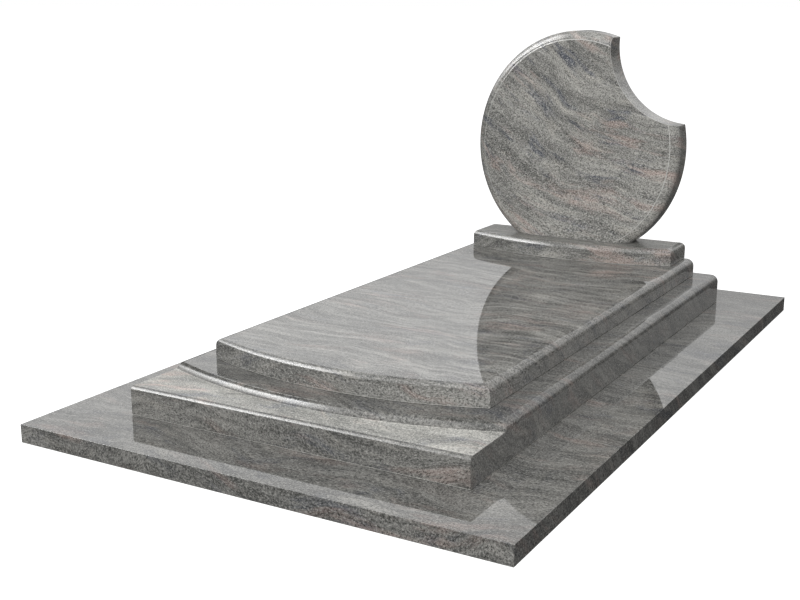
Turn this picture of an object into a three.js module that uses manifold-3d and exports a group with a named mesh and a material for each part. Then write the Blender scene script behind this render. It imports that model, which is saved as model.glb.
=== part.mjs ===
import * as THREE from 'three';
import { mergeVertices } from 'three/addons/utils/BufferGeometryUtils.js';
import Module from 'manifold-3d';

const wasm = await Module();
wasm.setup();

// Sizes in millimetres. X runs across the grave, Y from its foot to its head, Z up.

// Joints between stones side by side, and beds between stones one on the other
const jointGap = 0.3;
const bedGap = 0.3;

// A bowed front comes forward in its middle by this share of its width
const bowShare = 0.1;

// Kerb: the low wall round the grave, with a sill along its foot end. A cove as high as the sill's
// drop joins the two, and the sill's depth runs to the cove's upper edge.
const kerbWidth = 1000;
const kerbLength = 2000;
const kerbHeight = 100;
const kerbFrontDepth = 295;
const kerbSideWidth = 150;
const kerbBackDepth = 150;
const kerbSideRound = 25;
const sillDrop = 20.5;
const sillDepth = 98.5;
const sillEdgeRound = 11;

// Apron: the flat ring of slabs on the ground. Its margin is outside the kerb, its bearings under it.
const apronThickness = 50;
const apronMargin = 200;
const apronFrontBearing = 50;
const apronSideBearing = 100;
const apronBackBearing = 310;

// Ledger: the slab that covers the grave
const ledgerThickness = 60;
const ledgerSideSetback = 79;
const ledgerFrontSetback = 176;
const ledgerBackSetback = 48;
const ledgerSideRound = 25;
const ledgerFrontRound = 15;

// Headstone base: the low block that the headstone stands on, flush with the ledger's back
const baseThickness = 60;
const baseDepth = 246;
const baseSideSetback = 35;
const baseRound = 20;

// Headstone: an upright oval with a flat foot and a round bite out of its right shoulder.
// The face is the flat part of its front; the heights are above the headstone base.
const headThickness = 96;
const headEdgeRound = 32;
const headFrontSetback = 94;
const faceHalfHeight = 377.5;
const faceCentreHeight = 336.5;
const biteRadius = 273;
const biteCentreOutset = 10.5;
const biteCentreHeight = 701.5;

// Facets of a quarter circle, of a full turn of a bowed front, and of the oval and the bite
const quarterSteps = 8;
const turnSteps = 240;
const ovalSteps = 120;

// How far a cutting shape reaches past the stone that it cuts
const cutOver = 20;

// Widths and depths that follow from their neighbours
const apronWidth = kerbWidth + 2 * apronMargin;
const apronLength = kerbLength + 2 * apronMargin;
const apronFrontDepth = apronMargin + apronFrontBearing;
const apronSideWidth = apronMargin + apronSideBearing;
const apronBackDepth = apronMargin + apronBackBearing;
const ledgerWidth = kerbWidth - 2 * ledgerSideSetback;
const baseWidth = ledgerWidth - 2 * baseSideSetback;

// The headstone is as wide as its base, and the bite is centred just outside its right side
const faceHalfWidth = baseWidth / 2 - headEdgeRound;
const biteCentreAcross = baseWidth / 2 + biteCentreOutset;

// Levels, from the ground up
const apronTop = apronThickness;
const kerbTop = apronTop + kerbHeight;
const ledgerTop = kerbTop + ledgerThickness;
const baseTop = ledgerTop + baseThickness;

// Lines along the grave, from its foot to its head
const apronFront = -apronLength / 2;
const kerbFront = -kerbLength / 2;
const kerbBack = kerbLength / 2;
const ledgerFront = kerbFront + ledgerFrontSetback;
const ledgerBack = kerbBack - ledgerBackSetback;
const baseFront = ledgerBack - baseDepth;
const headFront = baseFront + headFrontSetback;

// Meshes and solids

function toSolid(geometry) {
  geometry.deleteAttribute('normal');
  geometry.deleteAttribute('uv');
  const merged = mergeVertices(geometry);
  const mesh = new wasm.Mesh({
    numProp: 3,
    vertProperties: new Float32Array(merged.attributes.position.array),
    triVerts: new Uint32Array(merged.index.array),
  });
  return new wasm.Manifold(mesh);
}

function toGeometry(solid) {
  const mesh = solid.getMesh();
  const geometry = new THREE.BufferGeometry();
  geometry.setAttribute('position', new THREE.BufferAttribute(mesh.vertProperties, 3));
  geometry.setIndex(new THREE.BufferAttribute(mesh.triVerts, 1));
  geometry.computeVertexNormals();
  return geometry;
}

// Basic shapes. Each is drawn with its own front at Y = 0 and its bed at Z = 0.

function block(xFrom, xTo, yFrom, yTo, zFrom, zTo) {
  const geometry = new THREE.BoxGeometry(xTo - xFrom, yTo - yFrom, zTo - zFrom);
  geometry.translate((xFrom + xTo) / 2, (yFrom + yTo) / 2, (zFrom + zTo) / 2);
  return toSolid(geometry);
}

function arc(centreU, centreV, radius, fromTurn, toTurn) {
  const points = [];
  for (let step = 0; step <= quarterSteps; step += 1) {
    const turn = fromTurn + (toTurn - fromTurn) * step / quarterSteps;
    points.push(new THREE.Vector2(centreU + radius * Math.cos(turn), centreV + radius * Math.sin(turn)));
  }
  return points;
}

function extruded(section, length) {
  return new THREE.ExtrudeGeometry(new THREE.Shape(section), { depth: length, bevelEnabled: false });
}

// A bar along Y, from its section in X and Z
function barAlongY(section, length) {
  const geometry = extruded(section, length);
  geometry.rotateX(Math.PI / 2);
  geometry.translate(0, length, 0);
  return toSolid(geometry);
}

// A bar along X, from its section in Y and Z
function barAlongX(section, width) {
  const geometry = extruded(section, width);
  geometry.rotateX(Math.PI / 2);
  geometry.rotateZ(Math.PI / 2);
  geometry.translate(-width / 2, 0, 0);
  return toSolid(geometry);
}

// A body turned round the upright axis at the given Y, from its half section
function turned(halfSection, axisY) {
  const geometry = new THREE.LatheGeometry(halfSection, turnSteps);
  geometry.rotateX(Math.PI / 2);
  geometry.translate(0, axisY, 0);
  return toSolid(geometry);
}

// Radius of the arc that spans the given width and comes forward by the bow share
function bowRadius(width) {
  const rise = bowShare * width;
  return (width * width / 4 + rise * rise) / (2 * rise);
}

// A long stone with its two upper side edges rounded
function roundedBar(width, length, height, radius) {
  const half = width / 2;
  const section = [
    new THREE.Vector2(-half, bedGap),
    new THREE.Vector2(half, bedGap),
    ...arc(half - radius, height - radius, radius, 0, Math.PI / 2),
    ...arc(radius - half, height - radius, radius, Math.PI / 2, Math.PI),
  ];
  return barAlongY(section, length);
}

// The round plate that gives a stone its bowed front, with its upper rim rounded
function bowedPlate(width, height, rimRadius) {
  const radius = bowRadius(width);
  const halfSection = [
    new THREE.Vector2(0, 0),
    new THREE.Vector2(radius, 0),
    ...arc(radius - rimRadius, height - rimRadius, rimRadius, 0, Math.PI / 2),
    new THREE.Vector2(0, height),
  ];
  return turned(halfSection, radius);
}

// Apron

function apronCrossSlab(depth) {
  return block(-apronWidth / 2, apronWidth / 2, 0, depth, 0, apronThickness);
}

function apronSideSlab() {
  const length = apronLength - apronFrontDepth - apronBackDepth - 2 * jointGap;
  return block(-apronSideWidth / 2, apronSideWidth / 2, 0, length, 0, apronThickness);
}

// Kerb

// What is cleared above the sill. Its inner wall is bowed in plan and sweeps down to the sill in a cove.
function sillClearance() {
  const sill = kerbHeight - sillDrop;
  const upperEdge = bowRadius(kerbWidth);
  const outside = upperEdge + kerbFrontDepth;
  const above = kerbHeight + cutOver;
  const halfSection = [
    new THREE.Vector2(upperEdge, above),
    ...arc(upperEdge + sillDrop, kerbHeight, sillDrop, Math.PI, 1.5 * Math.PI),
    new THREE.Vector2(outside, sill),
    new THREE.Vector2(outside, above),
    new THREE.Vector2(upperEdge, above),
  ];
  return turned(halfSection, sillDepth + upperEdge);
}

// What is cleared in front of the sill's rounded edge
function sillEdgeClearance() {
  const sill = kerbHeight - sillDrop;
  const section = [
    new THREE.Vector2(-cutOver, sill - sillEdgeRound),
    ...arc(sillEdgeRound, sill - sillEdgeRound, sillEdgeRound, Math.PI, Math.PI / 2),
    new THREE.Vector2(sillEdgeRound, sill + cutOver),
    new THREE.Vector2(-cutOver, sill + cutOver),
  ];
  return barAlongX(section, kerbWidth + 2 * cutOver);
}

function kerbFrontStone() {
  return roundedBar(kerbWidth, kerbFrontDepth, kerbHeight, kerbSideRound)
    .subtract(sillClearance())
    .subtract(sillEdgeClearance());
}

// A side stone, drawn with its inner face at X = 0: side is 1 for the right one, -1 for the left one
function kerbSideStone(side) {
  const length = kerbLength - kerbFrontDepth - jointGap;
  const section = [
    new THREE.Vector2(0, bedGap),
    new THREE.Vector2(kerbSideWidth, bedGap),
    ...arc(kerbSideWidth - kerbSideRound, kerbHeight - kerbSideRound, kerbSideRound, 0, Math.PI / 2),
    new THREE.Vector2(0, kerbHeight),
  ];
  return barAlongY(section.map((point) => new THREE.Vector2(side * point.x, point.y)), length);
}

// It stands between the two side stones
function kerbBackStone() {
  const half = kerbWidth / 2 - kerbSideWidth - jointGap;
  return block(-half, half, 0, kerbBackDepth, bedGap, kerbHeight);
}

// Ledger

function ledgerSlab() {
  return roundedBar(ledgerWidth, ledgerBack - ledgerFront, ledgerThickness, ledgerSideRound)
    .intersect(bowedPlate(ledgerWidth, ledgerThickness, ledgerFrontRound));
}

// Headstone base

// The section that rounds its upper back edge
function baseBackSection() {
  return [
    new THREE.Vector2(0, 0),
    new THREE.Vector2(baseDepth, 0),
    ...arc(baseDepth - baseRound, baseThickness - baseRound, baseRound, 0, Math.PI / 2),
    new THREE.Vector2(0, baseThickness),
  ];
}

function headstoneBase() {
  return roundedBar(baseWidth, baseDepth, baseThickness, baseRound)
    .intersect(bowedPlate(baseWidth, baseThickness, baseRound))
    .intersect(barAlongX(baseBackSection(), baseWidth));
}

// Headstone

// One loop of the oval at the given depth, moved outwards from the face's outline
function ovalLoop(depth, outwards) {
  const loop = [];
  for (let step = 0; step < ovalSteps; step += 1) {
    const turn = 2 * Math.PI * step / ovalSteps;
    const acrossSlope = Math.cos(turn) / faceHalfWidth;
    const upSlope = Math.sin(turn) / faceHalfHeight;
    const slope = Math.hypot(acrossSlope, upSlope);
    const across = faceHalfWidth * Math.cos(turn) + outwards * acrossSlope / slope;
    const up = faceHalfHeight * Math.sin(turn) + outwards * upSlope / slope;
    loop.push(across, depth, faceCentreHeight + up);
  }
  return loop;
}

// The whole oval: a flat face, a rounded front edge, a straight rim and a flat back
function ovalBlank() {
  const loops = [];
  for (let step = 0; step <= quarterSteps; step += 1) {
    const turn = Math.PI / 2 * step / quarterSteps;
    loops.push(ovalLoop(headEdgeRound * (1 - Math.cos(turn)), headEdgeRound * Math.sin(turn)));
  }
  loops.push(ovalLoop(headThickness, headEdgeRound));

  const positions = [...loops.flat(), 0, 0, faceCentreHeight, 0, headThickness, faceCentreHeight];
  const faceCentre = loops.length * ovalSteps;
  const backCentre = faceCentre + 1;
  const backLoop = faceCentre - ovalSteps;
  const triangles = [];
  for (let step = 0; step < ovalSteps; step += 1) {
    const next = (step + 1) % ovalSteps;
    triangles.push(faceCentre, step, next);
    triangles.push(backCentre, backLoop + next, backLoop + step);
    for (let near = 0; near < backLoop; near += ovalSteps) {
      const far = near + ovalSteps;
      triangles.push(near + step, far + step, far + next);
      triangles.push(near + step, far + next, near + next);
    }
  }
  const geometry = new THREE.BufferGeometry();
  geometry.setAttribute('position', new THREE.Float32BufferAttribute(positions, 3));
  geometry.setIndex(triangles);
  return toSolid(geometry);
}

// The part of space above the headstone's flat foot
function aboveFoot() {
  const reach = faceHalfWidth + headEdgeRound + cutOver;
  const top = faceCentreHeight + faceHalfHeight + headEdgeRound + cutOver;
  return block(-reach, reach, -cutOver, headThickness + cutOver, bedGap, top);
}

function biteCutter() {
  const length = headThickness + 2 * cutOver;
  const geometry = new THREE.CylinderGeometry(biteRadius, biteRadius, length, ovalSteps);
  geometry.translate(biteCentreAcross, headThickness / 2, biteCentreHeight);
  return toSolid(geometry);
}

function headstone() {
  return ovalBlank().intersect(aboveFoot()).subtract(biteCutter());
}

// Material

function polishedGranite() {
  return new THREE.MeshStandardMaterial({ color: 0x6f716c, roughness: 0.15, metalness: 0 });
}

// Assembly

const monument = new THREE.Group();

function place(name, solid, x, y, z) {
  const mesh = new THREE.Mesh(toGeometry(solid), polishedGranite());
  mesh.name = name;
  mesh.position.set(x, y, z);
  monument.add(mesh);
  return mesh;
}

function placeApron() {
  const sideCentre = (apronWidth - apronSideWidth) / 2;
  const sideFront = apronFront + apronFrontDepth + jointGap;
  place('apron_front', apronCrossSlab(apronFrontDepth), 0, apronFront, 0);
  place('apron_left', apronSideSlab(), -sideCentre, sideFront, 0);
  place('apron_right', apronSideSlab(), sideCentre, sideFront, 0);
  place('apron_back', apronCrossSlab(apronBackDepth), 0, apronLength / 2 - apronBackDepth, 0);
}

function placeKerb() {
  const sideInner = kerbWidth / 2 - kerbSideWidth;
  const sideFront = kerbFront + kerbFrontDepth + jointGap;
  place('kerb_front', kerbFrontStone(), 0, kerbFront, apronTop);
  place('kerb_left', kerbSideStone(-1), -sideInner, sideFront, apronTop);
  place('kerb_right', kerbSideStone(1), sideInner, sideFront, apronTop);
  place('kerb_back', kerbBackStone(), 0, kerbBack - kerbBackDepth, apronTop);
}

placeApron();
placeKerb();
place('ledger', ledgerSlab(), 0, ledgerFront, kerbTop);
place('headstone_base', headstoneBase(), 0, baseFront, ledgerTop);
place('headstone', headstone(), 0, headFront, baseTop);

export default monument;
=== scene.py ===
import math

import bmesh
import bpy
from mathutils import Matrix, Vector


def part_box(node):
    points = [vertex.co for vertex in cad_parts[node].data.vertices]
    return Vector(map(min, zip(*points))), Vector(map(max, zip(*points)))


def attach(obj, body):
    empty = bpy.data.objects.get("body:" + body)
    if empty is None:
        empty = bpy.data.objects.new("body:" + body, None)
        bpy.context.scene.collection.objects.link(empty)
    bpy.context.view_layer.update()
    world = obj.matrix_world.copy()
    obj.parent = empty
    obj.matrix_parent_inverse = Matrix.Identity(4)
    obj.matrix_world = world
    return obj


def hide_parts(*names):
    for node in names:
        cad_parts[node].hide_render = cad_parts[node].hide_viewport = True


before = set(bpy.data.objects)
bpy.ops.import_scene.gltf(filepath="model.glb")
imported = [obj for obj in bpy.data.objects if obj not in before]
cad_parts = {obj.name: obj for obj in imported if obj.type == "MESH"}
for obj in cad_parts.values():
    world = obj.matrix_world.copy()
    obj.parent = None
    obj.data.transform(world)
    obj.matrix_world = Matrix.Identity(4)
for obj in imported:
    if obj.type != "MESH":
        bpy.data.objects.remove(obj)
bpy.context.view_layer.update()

# Every size is in metres, in the frame of the CAD. The outer sizes of a stone come from its CAD node.

# Rounded edges of the stones
KERB_SIDE_ROUND = 0.025
LEDGER_SIDE_ROUND = 0.025
LEDGER_FRONT_ROUND = 0.015
BASE_ROUND = 0.020
HEAD_EDGE_ROUND = 0.032

# A bowed front comes forward in its middle by this share of its width
BOW_SHARE = 0.1

# Sill along the kerb's foot end. The cove behind it has the sill's drop as its radius.
SILL_DROP = 0.0205
SILL_DEPTH = 0.0985
SILL_EDGE_ROUND = 0.011

# Headstone: the bevel round its flat face, and where the bite is centred
FACE_BEVEL = 0.0028
FACE_HALF_HEIGHT = 0.3775
BITE_RADIUS = 0.273
BITE_OUTSET = 0.0105
BITE_ABOVE_FOOT = 0.7012

# The small bevel on every crisp edge, and the wider, paler one along the foot of a stone
ARRIS = 0.0008
FOOT_ARRIS = 0.0022
HEAD_ARRIS = 0.0012
ARRIS_STEPS = 2
CRISP_ANGLE = math.radians(50)

# Steps of the curves, and how far a cutting shape reaches past the stone
ROUND_STEPS = 16
BOW_STEPS = 160
OVAL_STEPS = 288
CUT_OVER = 0.02

# Points nearer than this are one point, and faces that turn less than this are one face
SAME_POINT = 1e-6
SAME_FACE = math.radians(0.05)

# An edge that is no higher than this above the lowest point belongs to the foot
FOOT_REACH = 1e-5

# How much more the large faces count than the narrow bevels in the smooth shading
LARGE_FACE_WEIGHT = 90

# Places of the colour inputs and the colour output on a mix node
COLOUR_MIX_INPUTS = (0, 6, 7)
COLOUR_MIX_OUTPUT = 2

# Places in each stone's list of materials
GRANITE = 0
PALE_EDGE = 1
# The other material is another finish; on the sill it is also painted sheen, a paler copy of the kerb's
# granite.
OTHER_FINISH_OR_PAINTED_SHEEN = 2

# How level a face is, as its normal's upward part, where one finish gives way to another; on the sill it is
# where the painted sheen begins
SILL_TOP_FROM = 0.97
LEDGER_EDGE_TO = 0.9
BASE_TOP_FROM = 0.99

# How far the bevel round the headstone's face turns forward, as its normal's forward part
FACE_BEVEL_TURN = (0.6, 0.8)

# Colours of the granite, before they are multiplied by a stone's own tone
DIM_GROUND = (0.150, 0.150, 0.142)
FAIR_GROUND = (0.262, 0.258, 0.242)
PALE_COLOUR = (0.42, 0.40, 0.362)
PINK_COLOUR = (0.365, 0.276, 0.245)
WISP_COLOUR = (0.074, 0.082, 0.104)
PALE_GRAIN_COLOUR = (0.56, 0.55, 0.52)

# Colours that are the same in every stone
DARK_GRAIN_COLOUR = (0.034, 0.036, 0.033, 1.0)
MICA_COLOUR = (0.018, 0.018, 0.018, 1.0)
DIM_EDGE = (0.44, 0.44, 0.42, 1.0)
FAIR_EDGE = (0.76, 0.75, 0.72, 1.0)
DIM_FLOOR = (0.93, 0.93, 0.93, 1.0)
FAIR_FLOOR = (0.96, 0.96, 0.96, 1.0)
WHITE = (1.0, 1.0, 1.0, 1.0)

# Noises. The scale is how often a noise repeats in a metre.
CLOUD = {"scale": 3.2, "detail": 5.0, "roughness": 0.62}
THIN_LINES = {"scale": 5.5, "detail": 6.0, "roughness": 0.7}
COARSE_GRAIN = {"scale": 210.0, "detail": 2.0, "roughness": 0.7}
FINE_GRAIN = {"scale": 560.0, "detail": 1.5, "roughness": 0.6}
MICA_PATCHES = {"scale": 38.0, "detail": 2.0}
MICA_SCALE = 210.0
EDGE_GRAIN = {"scale": 260.0, "detail": 3.0, "roughness": 0.6}
FLOOR_MOTTLE = {"scale": 1.5, "detail": 4.0}

# Streaks: a noise of its own, shifted away from the others, and the two levels between which it comes up
PALE_STREAK = {
    "noise": {"scale": 6.5, "detail": 6.0, "roughness": 0.6},
    "shift": (3.1, 7.7, 1.3),
    "comes_up": (0.52, 0.70),
}
PINK_STREAK = {
    "noise": {"scale": 3.6, "detail": 6.0, "roughness": 0.62},
    "shift": (9.4, 2.2, 5.8),
    "comes_up": (0.53, 0.69),
}
DARK_WISP = {
    "noise": {"scale": 4.6, "detail": 6.0, "roughness": 0.66},
    "shift": (1.9, 4.1, 8.6),
    "comes_up": (0.53, 0.68),
}

# The levels of a noise between which the other features come up
CLOUD_LEVELS = (0.36, 0.64)
LINE_LEVELS = (0.32, 0.68)
DARK_GRAIN_LEVELS = (0.50, 0.37)
PALE_GRAIN_LEVELS = (0.51, 0.63)
MICA_LEVELS = (0.26, 0.12)
MICA_PATCH_LEVELS = (0.5, 0.64)
EDGE_LEVELS = (0.35, 0.65)

# How strongly each feature covers what lies under it, and how the thin lines dim and lighten it
PALE_SHARE = 0.42
PINK_SHARE = 0.60
WISP_SHARE = 0.66
DARK_GRAIN_SHARE = 0.92
PALE_GRAIN_SHARE = 0.62
MICA_SHARE = 0.85
COARSE_SHARE = 0.62
LINE_DIMS = 0.38
LINE_LIGHTENS = 0.42

# The features are flattened across the stone's layers by these factors
LAYER_SQUEEZE = (1.0, 1.0, 5.0)
GRAIN_SQUEEZE = (1.0, 1.0, 1.35)
LINE_SQUEEZE = (1.0, 1.0, 13.0)

# Folds of the layers: how often a metre, and how far they move a place
FOLDS = ((1.7, 0.26), (6.0, 0.055))
FOLD_DETAIL = 1.5

# Finishes: low noise level, high noise level, and the roughness at each
POLISH = (0.35, 0.65, 0.030, 0.012)
EDGE_FINISH = (0.3, 0.7, 0.42, 0.30)
STONE_IOR = 1.52
SILL_FINISH = {"roughness": 0.36, "specular": 0.2}
BASE_TOP_FINISH = {"roughness": 0.3, "specular": 0.1}
FLOOR_ROUGHNESS = 0.9
FLOOR_SHINE = 0.70

# The studio by direction, on the direction's X, Y or Z: from, to, and the brightness at each
HORIZON = (-0.04, 0.02, 0.07, 1.0)
SOFT_BY_HEIGHT = (0.0, 0.9, 0.168, 0.648)
SOFT_BY_SIDE = (0.1, 0.9, 1.04, 0.62)
WALL_TO_CEILING = (0.30, 1.0, 1.28, 0.6)
WALL_FOOT = (0.03, 0.33, 0.08, 1.0)
WALL_BY_SIDE = (-0.42, -0.20, 1.0, 0.75)
GLOW_BY_SIDE = (-0.64, -0.38, 1.0, 0.08)
GLOW_BY_DEPTH = (-0.75, 0.35, 1.0, 0.0)
GLOW_BY_HEIGHT = (0.17, 0.42, 0.0, 14.0)

# Ray depths that tell a first reflection, and light that has bounced off the stone
FIRST_REFLECTION = 1.5
BOUNCED_LIGHT = 0.5

# Soft light from the front
KEY_LIGHT = 8.8
KEY_DIRECTION = (0.28, -0.86, 0.38)
KEY_DISTANCE = 7.0
KEY_SIZE = 3.4
KEY_AIM = (0.0, 0.0, 0.3)

# Floor: how far it reaches, and how far it lies under the apron
FLOOR_REACH = 400.0
FLOOR_GAP = 0.001

# Camera
CAMERA_PLACE = (1.592, -3.2059, 1.1044)
CAMERA_YAW = math.radians(-30.006)
CAMERA_PITCH = math.radians(14.057)
CAMERA_ROLL = math.radians(0.073)
CAMERA_LENS = 53.12
CAMERA_SENSOR = 36.0


# Meshes

def mesh_object(name, points, faces):
    mesh = bpy.data.meshes.new(name)
    mesh.from_pydata(points, [], faces)
    piece = bpy.data.objects.new(name, mesh)
    bpy.context.scene.collection.objects.link(piece)
    turn_faces_out(mesh)
    return piece


def turn_faces_out(mesh):
    editor = bmesh.new()
    editor.from_mesh(mesh)
    bmesh.ops.recalc_face_normals(editor, faces=editor.faces)
    editor.to_mesh(mesh)
    editor.free()


def stacked(name, loops):
    """A closed solid through loops that have equally many points."""
    count = len(loops[0])
    points = [point for loop in loops for point in loop]
    faces = [list(range(count)), [len(points) - count + step for step in range(count)]]
    for low in range(0, len(points) - count, count):
        for step in range(count):
            following = (step + 1) % count
            faces.append([low + step, low + following, low + count + following, low + count + step])
    return mesh_object(name, points, faces)


def arc(centre, radius, start, end, steps=ROUND_STEPS):
    """Points of an arc from angle start to angle end, both included."""
    turns = [start + (end - start) * step / steps for step in range(steps + 1)]
    return [(centre[0] + radius * math.cos(turn), centre[1] + radius * math.sin(turn)) for turn in turns]


def bar_along_x(name, section, left, right):
    """A bar with its section in Y and Z."""
    return stacked(name, [[(x, y, z) for y, z in section] for x in (left, right)])


def bar_along_y(name, section, front, back):
    """A bar with its section in X and Z."""
    return stacked(name, [[(x, y, z) for x, z in section] for y in (front, back)])


def apply_modifiers(piece):
    evaluated = piece.evaluated_get(bpy.context.evaluated_depsgraph_get())
    finished = bpy.data.meshes.new_from_object(evaluated)
    unfinished = piece.data
    piece.modifiers.clear()
    piece.data = finished
    bpy.data.meshes.remove(unfinished)


def combine(piece, other, operation):
    modifier = piece.modifiers.new(operation, "BOOLEAN")
    modifier.operation = operation
    modifier.solver = "EXACT"
    modifier.object = other
    apply_modifiers(piece)
    bpy.data.objects.remove(other)


def merge_flat_faces(piece):
    editor = bmesh.new()
    editor.from_mesh(piece.data)
    bmesh.ops.remove_doubles(editor, verts=editor.verts, dist=SAME_POINT)
    bmesh.ops.dissolve_limit(editor, angle_limit=SAME_FACE, verts=editor.verts, edges=editor.edges)
    editor.to_mesh(piece.data)
    editor.free()


def weigh_crisp_edges(piece, width, foot_width):
    """Marks how wide the bevel is on each crisp edge, as a share of the one along the foot."""
    editor = bmesh.new()
    editor.from_mesh(piece.data)
    weight = editor.edges.layers.float.new("bevel_weight_edge")
    foot = min(vertex.co.z for vertex in editor.verts) + FOOT_REACH
    for edge in editor.edges:
        if edge.calc_face_angle(0.0) > CRISP_ANGLE:
            at_foot = all(vertex.co.z < foot for vertex in edge.verts)
            edge[weight] = 1.0 if at_foot else width / foot_width
    editor.to_mesh(piece.data)
    editor.free()


def dress_edges(piece, width, foot_width):
    """Gives every crisp edge its small bevel, and shades the stone smooth between them."""
    merge_flat_faces(piece)
    weigh_crisp_edges(piece, width, foot_width)
    bevel = piece.modifiers.new("arris", "BEVEL")
    bevel.width = foot_width
    bevel.segments = ARRIS_STEPS
    bevel.limit_method = "WEIGHT"
    bevel.use_clamp_overlap = False
    bevel.miter_outer = "MITER_ARC"
    bevel.material = PALE_EDGE
    apply_modifiers(piece)
    for polygon in piece.data.polygons:
        polygon.use_smooth = True
    weighted = piece.modifiers.new("shading", "WEIGHTED_NORMAL")
    weighted.weight = LARGE_FACE_WEIGHT
    apply_modifiers(piece)


# Stones

def bow_radius(width):
    rise = BOW_SHARE * width
    return (width * width / 4 + rise * rise) / (2 * rise)


def bow_line(width, apex, outwards=0.0):
    """The bowed front in plan, from left to right and a little past both sides."""
    radius = bow_radius(width)
    reach = math.asin((width / 2 + CUT_OVER) / radius)
    centre = (0, apex + radius)
    return arc(centre, radius + outwards, -math.pi / 2 - reach, -math.pi / 2 + reach, BOW_STEPS)


def rounded_section(low, high, radius, bottom, top):
    """A section with both upper corners rounded."""
    return [
        (low, bottom),
        (high, bottom),
        *arc((high - radius, top - radius), radius, 0, math.pi / 2),
        *arc((low + radius, top - radius), radius, math.pi / 2, math.pi),
    ]


def bowed_plate(width, front, back, bottom, top, radius):
    """A plate with a bowed front whose upper edge is rounded. It is wider and longer than the stone."""
    side = width / 2 + 2 * CUT_OVER
    levels = [(0.0, bottom - CUT_OVER)]
    levels += [(along - radius, up) for along, up in arc((0, top - radius), radius, 0, math.pi / 2)]
    loops = []
    for outwards, height in levels:
        line = bow_line(width, front, outwards)
        behind = back + CUT_OVER
        corners = [(side, line[-1][1]), (side, behind), (-side, behind), (-side, line[0][1])]
        loops.append([(x, y, height) for x, y in line + corners])
    return stacked("bowed_plate", loops)


def plain_slab(node):
    low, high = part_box(node)
    section = [(low.y, low.z), (high.y, low.z), (high.y, high.z), (low.y, high.z)]
    return bar_along_x(node + "_stone", section, low.x, high.x)


def kerb_front():
    low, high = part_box("kerb_front")
    section = rounded_section(low.x, high.x, KERB_SIDE_ROUND, low.z, high.z)
    stone = bar_along_y("kerb_front_stone", section, low.y, high.y)
    combine(stone, sill_clearance(low, high), "DIFFERENCE")
    combine(stone, sill_edge_clearance(low, high), "DIFFERENCE")
    return stone


def sill_clearance(low, high):
    """What is cleared above the sill, up to the bowed cove that joins it to the kerb's top."""
    width = high.x - low.x
    side = width / 2 + 2 * CUT_OVER
    front = low.y - CUT_OVER
    loops = []
    cove = arc((SILL_DROP, high.z), SILL_DROP, 1.5 * math.pi, math.pi)
    for outwards, height in [*cove, (0.0, high.z + CUT_OVER)]:
        line = bow_line(width, low.y + SILL_DEPTH, outwards)
        corners = [(side, line[-1][1]), (side, front), (-side, front), (-side, line[0][1])]
        loops.append([(x, y, height) for x, y in line + corners])
    return stacked("sill_clearance", loops)


def sill_edge_clearance(low, high):
    """What is cleared in front of the sill's rounded edge."""
    sill = high.z - SILL_DROP
    centre = (low.y + SILL_EDGE_ROUND, sill - SILL_EDGE_ROUND)
    section = [
        (low.y - CUT_OVER, centre[1]),
        *arc(centre, SILL_EDGE_ROUND, math.pi, math.pi / 2),
        (centre[0], sill + CUT_OVER),
        (low.y - CUT_OVER, sill + CUT_OVER),
    ]
    return bar_along_x("sill_edge_clearance", section, low.x - CUT_OVER, high.x + CUT_OVER)


def kerb_side(node, side):
    """A side stone: side is 1 for the right one and -1 for the left one."""
    low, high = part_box(node)
    inner = side * min(abs(low.x), abs(high.x))
    outer = side * max(abs(low.x), abs(high.x))
    rounding = arc((0, high.z - KERB_SIDE_ROUND), KERB_SIDE_ROUND, 0, math.pi / 2)
    section = [(inner, low.z), (outer, low.z)]
    section += [(outer - side * (KERB_SIDE_ROUND - along), up) for along, up in rounding]
    section.append((inner, high.z))
    return bar_along_y(node + "_stone", section, low.y, high.y)


def ledger():
    low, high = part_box("ledger")
    section = rounded_section(low.x, high.x, LEDGER_SIDE_ROUND, low.z, high.z)
    stone = bar_along_y("ledger_stone", section, low.y - CUT_OVER, high.y)
    plate = bowed_plate(high.x - low.x, low.y, high.y, low.z, high.z, LEDGER_FRONT_ROUND)
    combine(stone, plate, "INTERSECT")
    return stone


def headstone_base():
    low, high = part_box("headstone_base")
    section = rounded_section(low.x, high.x, BASE_ROUND, low.z, high.z)
    stone = bar_along_y("headstone_base_stone", section, low.y - CUT_OVER, high.y + CUT_OVER)
    plate = bowed_plate(high.x - low.x, low.y, high.y + CUT_OVER, low.z, high.z, BASE_ROUND)
    combine(stone, plate, "INTERSECT")
    back = [
        (low.y - 2 * CUT_OVER, low.z - CUT_OVER),
        (high.y, low.z - CUT_OVER),
        *arc((high.y - BASE_ROUND, high.z - BASE_ROUND), BASE_ROUND, 0, math.pi / 2),
        (low.y - 2 * CUT_OVER, high.z),
    ]
    combine(stone, bar_along_x("back", back, low.x - CUT_OVER, high.x + CUT_OVER), "INTERSECT")
    return stone


def oval_loop(half_width, half_height, centre_height, depth, outwards):
    """One loop of the oval at the given depth, moved outwards from the face's outline."""
    loop = []
    for step in range(OVAL_STEPS):
        turn = 2 * math.pi * step / OVAL_STEPS
        slope = Vector((math.cos(turn) / half_width, math.sin(turn) / half_height)).normalized()
        across = half_width * math.cos(turn) + outwards * slope.x
        up = half_height * math.sin(turn) + outwards * slope.y
        loop.append((across, depth, centre_height + up))
    return loop


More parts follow.
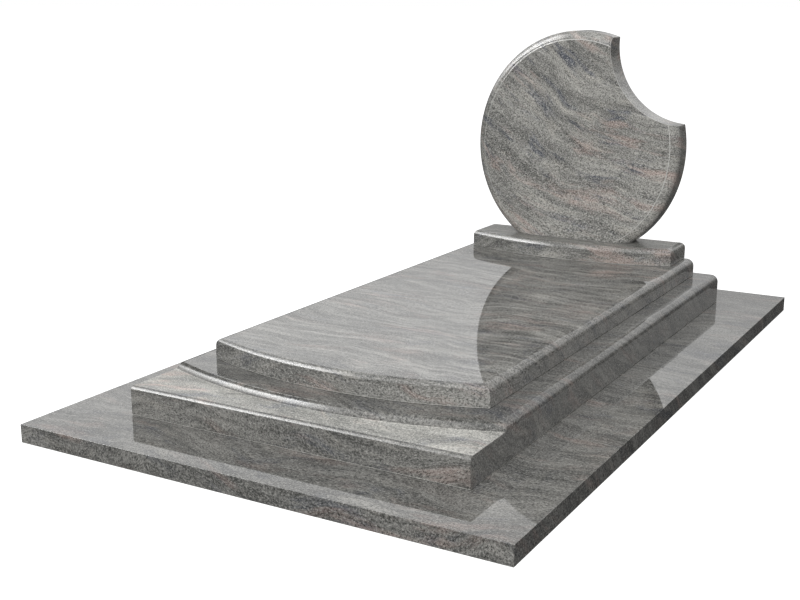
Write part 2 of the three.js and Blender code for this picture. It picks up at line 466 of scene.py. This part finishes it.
def headstone():
    low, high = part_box("headstone")
    half_width = (high.x - low.x) / 2 - HEAD_EDGE_ROUND
    centre_height = high.z - HEAD_EDGE_ROUND - FACE_HALF_HEIGHT
    radius = HEAD_EDGE_ROUND - FACE_BEVEL
    rounding = arc((HEAD_EDGE_ROUND, FACE_BEVEL), radius, math.pi, math.pi / 2)
    profile = [(0.0, 0.0), *rounding, (high.y - low.y, HEAD_EDGE_ROUND)]
    loops = [
        oval_loop(half_width, FACE_HALF_HEIGHT, centre_height, low.y + depth, outwards)
        for depth, outwards in profile
    ]
    stone = stacked("headstone_stone", loops)
    foot = [
        (low.x - CUT_OVER, low.z),
        (high.x + CUT_OVER, low.z),
        (high.x + CUT_OVER, high.z + CUT_OVER),
        (low.x - CUT_OVER, high.z + CUT_OVER),
    ]
    combine(stone, bar_along_y("above_foot", foot, low.y - CUT_OVER, high.y + CUT_OVER), "INTERSECT")
    centre = (high.x + BITE_OUTSET, low.z + BITE_ABOVE_FOOT)
    bite = arc(centre, BITE_RADIUS, 0, 2 * math.pi, OVAL_STEPS)[:-1]
    combine(stone, bar_along_y("bite", bite, low.y - CUT_OVER, high.y + CUT_OVER), "DIFFERENCE")
    return stone


# Materials

class Tree:
    """The nodes of one material, with short calls to add and join them."""

    def __init__(self, name):
        self.material = bpy.data.materials.new(name)
        self.material.use_nodes = True
        self.nodes = self.material.node_tree.nodes
        self.links = self.material.node_tree.links
        self.shader = self.nodes["Principled BSDF"]

    def feed(self, socket, value):
        if isinstance(value, bpy.types.NodeSocket):
            self.links.new(value, socket)
        else:
            socket.default_value = value

    def add(self, kind, inputs=None, **settings):
        node = self.nodes.new(kind)
        for key, value in settings.items():
            setattr(node, key, value)
        for key, value in (inputs or {}).items():
            self.feed(node.inputs[key], value)
        return node

    def object_place(self):
        return self.add("ShaderNodeTexCoord").outputs["Object"]

    def noise(self, place, scale, detail, roughness=0.5):
        inputs = {"Vector": place, "Scale": scale, "Detail": detail, "Roughness": roughness}
        return self.add("ShaderNodeTexNoise", inputs)

    def level(self, place, noise):
        """The plain level of a noise at a place."""
        return self.noise(place, **noise).outputs[0]

    def math(self, operation, first, second):
        return self.add("ShaderNodeMath", {0: first, 1: second}, operation=operation).outputs[0]

    def vector(self, operation, first, second):
        return self.add("ShaderNodeVectorMath", {0: first, 1: second}, operation=operation).outputs[0]

    def span(self, value, low, high, start=0.0, end=1.0):
        """Maps low..high onto start..end, smoothly and held at both ends."""
        inputs = {"Value": value, "From Min": low, "From Max": high, "To Min": start, "To Max": end}
        return self.add("ShaderNodeMapRange", inputs, interpolation_type="SMOOTHSTEP").outputs[0]

    def blend(self, share, first, second, mode="MIX"):
        node = self.add("ShaderNodeMix", data_type="RGBA", blend_type=mode)
        share_socket, first_socket, second_socket = (node.inputs[place] for place in COLOUR_MIX_INPUTS)
        self.feed(share_socket, share)
        self.feed(first_socket, first)
        self.feed(second_socket, second)
        return node.outputs[COLOUR_MIX_OUTPUT]


def stone_colour(parts, tone):
    return (parts[0] * tone, parts[1] * tone, parts[2] * tone, 1.0)


def flow_place(tree, turn, offset, bend):
    """Places in the stone, turned so that its layers lie level, and gently folded."""
    place = tree.object_place()
    sideways = tree.add("ShaderNodeSeparateXYZ", {0: place}).outputs[0]
    sag = tree.math("MULTIPLY", tree.math("MULTIPLY", sideways, sideways), -bend)
    place = tree.vector("ADD", place, tree.add("ShaderNodeCombineXYZ", {2: sag}).outputs[0])
    mapping = {"Vector": place, "Rotation": turn, "Location": offset}
    turned = tree.add("ShaderNodeMapping", mapping).outputs[0]
    for scale, amount in FOLDS:
        fold = tree.noise(turned, scale, FOLD_DETAIL).outputs["Color"]
        shift = tree.vector("MULTIPLY", tree.vector("SUBTRACT", fold, (0.5,) * 3), (amount,) * 3)
        turned = tree.vector("ADD", turned, shift)
    return turned


def streak(tree, layers, noise, shift, comes_up):
    """How strongly one kind of streak shows at each place."""
    return tree.span(tree.level(tree.vector("ADD", layers, shift), noise), *comes_up)


def streaked_ground(tree, flow, tone, streaks, wisps):
    """The stone's colour before its grains: a cloudy ground with pale, pink and blue-black streaks."""
    layers = tree.vector("MULTIPLY", flow, LAYER_SQUEEZE)
    clouds = tree.span(tree.level(layers, CLOUD), *CLOUD_LEVELS)
    ground = tree.blend(clouds, stone_colour(DIM_GROUND, tone), stone_colour(FAIR_GROUND, tone))
    for kind, colour, share in (
        (PALE_STREAK, PALE_COLOUR, PALE_SHARE),
        (PINK_STREAK, PINK_COLOUR, PINK_SHARE),
        (DARK_WISP, WISP_COLOUR, wisps),
    ):
        cover = tree.math("MULTIPLY", streak(tree, layers, **kind), share)
        ground = tree.blend(cover, ground, stone_colour(colour, tone))
    line_level = tree.level(tree.vector("MULTIPLY", flow, LINE_SQUEEZE), THIN_LINES)
    lines = tree.span(line_level, *LINE_LEVELS, 1 - LINE_DIMS * streaks, 1 + LINE_LIGHTENS * streaks)
    return tree.blend(1.0, ground, lines, "MULTIPLY")


def coarsened(noise, coarseness):
    return {**noise, "scale": noise["scale"] / coarseness}


def granite(name, turn, offset, tone, streaks=1.0, bend=0.0, wisps=WISP_SHARE, grain=1.0, coarseness=1.0):
    """Polished granite with dark and pale grains, and with streaks along its layers."""
    tree = Tree(name)
    flow = flow_place(tree, turn, offset, bend)
    ground = streaked_ground(tree, flow, tone, streaks, wisps)

    grains = tree.vector("MULTIPLY", flow, GRAIN_SQUEEZE)
    coarse = tree.math("MULTIPLY", tree.level(grains, coarsened(COARSE_GRAIN, coarseness)), COARSE_SHARE)
    fine = tree.math("MULTIPLY", tree.level(grains, coarsened(FINE_GRAIN, coarseness)), 1 - COARSE_SHARE)
    speckle = tree.math("ADD", coarse, fine)
    darker = tree.math("MULTIPLY", tree.span(speckle, *DARK_GRAIN_LEVELS), DARK_GRAIN_SHARE * grain)
    paler = tree.math("MULTIPLY", tree.span(speckle, *PALE_GRAIN_LEVELS), PALE_GRAIN_SHARE * grain)
    colour = tree.blend(darker, ground, DARK_GRAIN_COLOUR)
    colour = tree.blend(paler, colour, stone_colour(PALE_GRAIN_COLOUR, tone))

    flecks = tree.add("ShaderNodeTexVoronoi", {"Vector": grains, "Scale": MICA_SCALE})
    mica = tree.span(flecks.outputs["Distance"], *MICA_LEVELS)
    patches = tree.span(tree.level(grains, MICA_PATCHES), *MICA_PATCH_LEVELS)
    cover = tree.math("MULTIPLY", tree.math("MULTIPLY", mica, patches), MICA_SHARE)
    colour = tree.blend(cover, colour, MICA_COLOUR)

    tree.feed(tree.shader.inputs["Base Color"], colour)
    tree.feed(tree.shader.inputs["Roughness"], tree.span(speckle, *POLISH))
    tree.shader.inputs["IOR"].default_value = STONE_IOR
    return tree.material


def honed(material, name, roughness, specular):
    """The same granite with a duller finish."""
    copy = material.copy()
    copy.name = name
    shader = copy.node_tree.nodes["Principled BSDF"]
    for link in list(shader.inputs["Roughness"].links):
        copy.node_tree.links.remove(link)
    shader.inputs["Roughness"].default_value = roughness
    shader.inputs["Specular IOR Level"].default_value = specular
    return copy


def arris_material():
    """The bevelled edges: paler than the faces, and honed rather than polished."""
    tree = Tree("honed_arris")
    grain = tree.level(tree.object_place(), EDGE_GRAIN)
    colour = tree.blend(tree.span(grain, *EDGE_LEVELS), DIM_EDGE, FAIR_EDGE)
    tree.feed(tree.shader.inputs["Base Color"], colour)
    tree.feed(tree.shader.inputs["Roughness"], tree.span(grain, *EDGE_FINISH))
    return tree.material


def floor_material():
    tree = Tree("pale_floor")
    mottle = tree.level(tree.object_place(), FLOOR_MOTTLE)
    tree.feed(tree.shader.inputs["Base Color"], tree.blend(mottle, DIM_FLOOR, FAIR_FLOOR))
    tree.shader.inputs["Roughness"].default_value = FLOOR_ROUGHNESS
    tree.shader.inputs["Specular IOR Level"].default_value = 0.0
    tree.shader.inputs["Emission Color"].default_value = WHITE
    tree.shader.inputs["Emission Strength"].default_value = FLOOR_SHINE
    return tree.material


def across(turn, tilt):
    """The turn of layers whose streaks run across the grave, in degrees about the upright and tilted over."""
    return (math.radians(tilt), 0.0, math.radians(turn))


# Assembly

def pale_face_bevel(head):
    """Makes the narrow bevel round the headstone's flat face as pale as an edge."""
    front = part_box("headstone")[0].y
    least, most = FACE_BEVEL_TURN
    for polygon in head.data.polygons:
        if polygon.center.y < front + FACE_BEVEL and least < -polygon.normal.y < most:
            polygon.material_index = PALE_EDGE


def keep_pale_at_foot(stone):
    """Keeps the pale bevels at the stone's foot only. Higher up they are polished like the faces."""
    foot = min(vertex.co.z for vertex in stone.data.vertices)
    for polygon in stone.data.polygons:
        if polygon.center.z > foot + FOOT_ARRIS:
            polygon.material_index = GRANITE


def refinish(stone, material, chosen):
    """Gives the chosen polygons another material: another finish, and on the sill also a paler colour that is
    painted sheen.
    """
    stone.data.materials.append(material)
    for polygon in stone.data.polygons:
        if polygon.material_index == GRANITE and chosen(polygon):
            polygon.material_index = OTHER_FINISH_OR_PAINTED_SHEEN


def sill_top_test():
    """A test that is true on the sill's flat top, behind its rounded edge and in front of its cove."""
    low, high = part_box("kerb_front")
    middle_of_cove = high.z - SILL_DROP / 2
    end_of_edge = low.y + SILL_EDGE_ROUND

    def on_sill_top(face):
        level = face.normal.z > SILL_TOP_FROM
        return level and face.center.z < middle_of_cove and face.center.y > end_of_edge

    return on_sill_top


def on_ledger_edge(face):
    """True on the ledger's front, sides and back, and on the lower part of its rounds."""
    return abs(face.normal.z) < LEDGER_EDGE_TO


def on_base_top(face):
    return face.normal.z > BASE_TOP_FROM


def finish_stone(stone, node, material, width=ARRIS, foot_width=FOOT_ARRIS):
    """Gives a stone its granite and its bevels, and puts it in the place of its CAD node."""
    stone.data.materials.clear()
    stone.data.materials.append(material)
    stone.data.materials.append(arris)
    dress_edges(stone, width, foot_width)
    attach(stone, "root")
    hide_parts(node)
    return stone


# Granites. The offset moves each stone to another place in the rock.

arris = arris_material()
apron_granite = granite(
    "apron_granite", turn=across(8, 42), offset=(0.0, 0.0, 0.0), tone=0.86, coarseness=1.2
)
kerb_granite = granite(
    "kerb_granite", turn=across(5, 36), offset=(4.0, 1.0, 2.0), tone=0.77, coarseness=1.2
)
ledger_granite = granite(
    "ledger_granite", turn=across(10, 42), offset=(7.6, 3.2, 5.1), tone=1.08, streaks=1.7
)
base_granite = granite("base_granite", turn=across(4, 36), offset=(2.0, 8.0, 1.0), tone=1.28)
headstone_granite = granite(
    "headstone_granite",
    turn=(0.0, math.radians(-28), 0.0),
    offset=(5.0, 6.0, 9.4),
    tone=1.60,
    streaks=0.7,
    bend=0.5,
    wisps=0.92,
)
# Painted sheen: the sill is cut from the kerb's own rock, but its granite is painted far paler to stand for
# the bright light that the sill's top mirrors.
sill_granite_painted_sheen = granite(
    "sill_granite_painted_sheen", turn=across(5, 36), offset=(4.0, 1.0, 2.0), tone=2.25, streaks=0.5, grain=0.72
)
ledger_edge_granite = granite(
    "ledger_edge_granite", turn=across(10, 42), offset=(7.6, 3.2, 5.1), tone=1.08, streaks=0.6, coarseness=1.2
)
honed_sill_painted_sheen = honed(sill_granite_painted_sheen, "honed_sill_painted_sheen", **SILL_FINISH)
honed_base_top = honed(base_granite, "honed_base_top", **BASE_TOP_FINISH)

# Stones, each in the place of its CAD node

for node in ("apron_front", "apron_left", "apron_right", "apron_back"):
    keep_pale_at_foot(finish_stone(plain_slab(node), node, apron_granite, ARRIS, ARRIS))

front_kerb = finish_stone(kerb_front(), "kerb_front", kerb_granite)
keep_pale_at_foot(front_kerb)
# The sill's top is duller than the kerb and painted much paler: painted sheen for the light it mirrors.
refinish(front_kerb, honed_sill_painted_sheen, sill_top_test())

for node, side in (("kerb_left", -1), ("kerb_right", 1)):
    keep_pale_at_foot(finish_stone(kerb_side(node, side), node, kerb_granite))
keep_pale_at_foot(finish_stone(plain_slab("kerb_back"), "kerb_back", kerb_granite))

covering = finish_stone(ledger(), "ledger", ledger_granite)
keep_pale_at_foot(covering)
refinish(covering, ledger_edge_granite, on_ledger_edge)

base = finish_stone(headstone_base(), "headstone_base", base_granite)
keep_pale_at_foot(base)
refinish(base, honed_base_top, on_base_top)

head = finish_stone(headstone(), "headstone", headstone_granite, HEAD_ARRIS, HEAD_ARRIS)
pale_face_bevel(head)


# Stage, light and camera

def make_floor():
    corners = [
        (side * FLOOR_REACH, end * FLOOR_REACH, -FLOOR_GAP)
        for side, end in ((-1, -1), (1, -1), (1, 1), (-1, 1))
    ]
    mesh = bpy.data.meshes.new("floor")
    mesh.from_pydata(corners, [], [[0, 1, 2, 3]])
    floor = bpy.data.objects.new("floor", mesh)
    bpy.context.scene.collection.objects.link(floor)
    floor.data.materials.append(floor_material())
    floor.visible_glossy = False
    floor.visible_diffuse = False


def make_world():
    """A plain studio, white to the camera. The stone is lit softly, mostly from above, and its polish
    mirrors a wall that is dark at its foot, with a bright glow high up on the left.
    """
    world = bpy.data.worlds.new("studio")
    bpy.context.scene.world = world
    world.use_nodes = True
    nodes, links = world.node_tree.nodes, world.node_tree.links
    parts = nodes.new("ShaderNodeSeparateXYZ")
    links.new(nodes.new("ShaderNodeTexCoord").outputs["Generated"], parts.inputs[0])
    path = nodes.new("ShaderNodeLightPath").outputs

    def span(value, low, high, start, end):
        node = nodes.new("ShaderNodeMapRange")
        node.interpolation_type = "SMOOTHSTEP"
        links.new(value, node.inputs["Value"])
        for key, number in {"From Min": low, "From Max": high, "To Min": start, "To Max": end}.items():
            node.inputs[key].default_value = number
        return node.outputs[0]

    def work_out(operation, first, second):
        node = nodes.new("ShaderNodeMath")
        node.operation = operation
        for socket, value in zip(node.inputs, (first, second)):
            if isinstance(value, float):
                socket.default_value = value
            else:
                links.new(value, socket)
        return node.outputs[0]

    def product(first, *others):
        for other in others:
            first = work_out("MULTIPLY", first, other)
        return first

    def choose(share, first, second):
        kept = product(first, work_out("SUBTRACT", 1.0, share))
        return work_out("ADD", kept, product(second, share))

    sideways, depth, height = parts.outputs
    wall = product(span(height, *WALL_TO_CEILING), span(height, *WALL_FOOT), span(sideways, *WALL_BY_SIDE))
    first_reflection = work_out("LESS_THAN", path["Glossy Depth"], FIRST_REFLECTION)
    glow = product(span(sideways, *GLOW_BY_SIDE), span(depth, *GLOW_BY_DEPTH), span(height, *GLOW_BY_HEIGHT))
    mirrored = work_out("ADD", wall, product(glow, first_reflection))
    soft = product(span(height, *HORIZON), span(height, *SOFT_BY_HEIGHT), span(sideways, *SOFT_BY_SIDE))
    bounced = work_out("GREATER_THAN", path["Diffuse Depth"], BOUNCED_LIGHT)
    seen_in_polish = product(path["Is Glossy Ray"], work_out("SUBTRACT", 1.0, bounced))
    light = choose(seen_in_polish, soft, mirrored)
    light = choose(path["Is Camera Ray"], light, 1.0)
    links.new(light, nodes["Background"].inputs["Strength"])
    nodes["Background"].inputs["Color"].default_value = WHITE


def make_key_light():
    """A soft square light that hangs in front of the grave. The polish doesn't mirror it."""
    light = bpy.data.lights.new("front_key", "AREA")
    light.shape = "RECTANGLE"
    light.size = KEY_SIZE
    light.size_y = KEY_SIZE
    light.energy = KEY_LIGHT * math.pi * KEY_SIZE * KEY_SIZE
    lamp = bpy.data.objects.new("front_key", light)
    bpy.context.scene.collection.objects.link(lamp)
    direction = Vector(KEY_DIRECTION).normalized()
    lamp.location = Vector(KEY_AIM) + direction * KEY_DISTANCE
    lamp.rotation_euler = direction.to_track_quat("Z", "Y").to_euler()
    lamp.visible_glossy = False


def make_camera():
    """The camera that was fitted to the photo: it looks down from the front right."""
    camera = bpy.data.cameras.new("camera")
    camera.lens = CAMERA_LENS
    camera.sensor_width = CAMERA_SENSOR
    holder = bpy.data.objects.new("camera", camera)
    bpy.context.scene.collection.objects.link(holder)
    holder.location = CAMERA_PLACE
    level = math.cos(CAMERA_PITCH)
    forward = Vector((math.sin(CAMERA_YAW) * level, math.cos(CAMERA_YAW) * level, -math.sin(CAMERA_PITCH)))
    right = Vector((math.cos(CAMERA_YAW), -math.sin(CAMERA_YAW), 0.0))
    up = right.cross(forward)
    tilted_right = right * math.cos(CAMERA_ROLL) + up * math.sin(CAMERA_ROLL)
    tilted_up = up * math.cos(CAMERA_ROLL) - right * math.sin(CAMERA_ROLL)
    holder.rotation_euler = Matrix((tilted_right, tilted_up, -forward)).transposed().to_euler()
    bpy.context.scene.camera = holder


make_floor()
make_world()
make_key_light()
make_camera()
bpy.context.scene.view_settings.view_transform = "Standard"
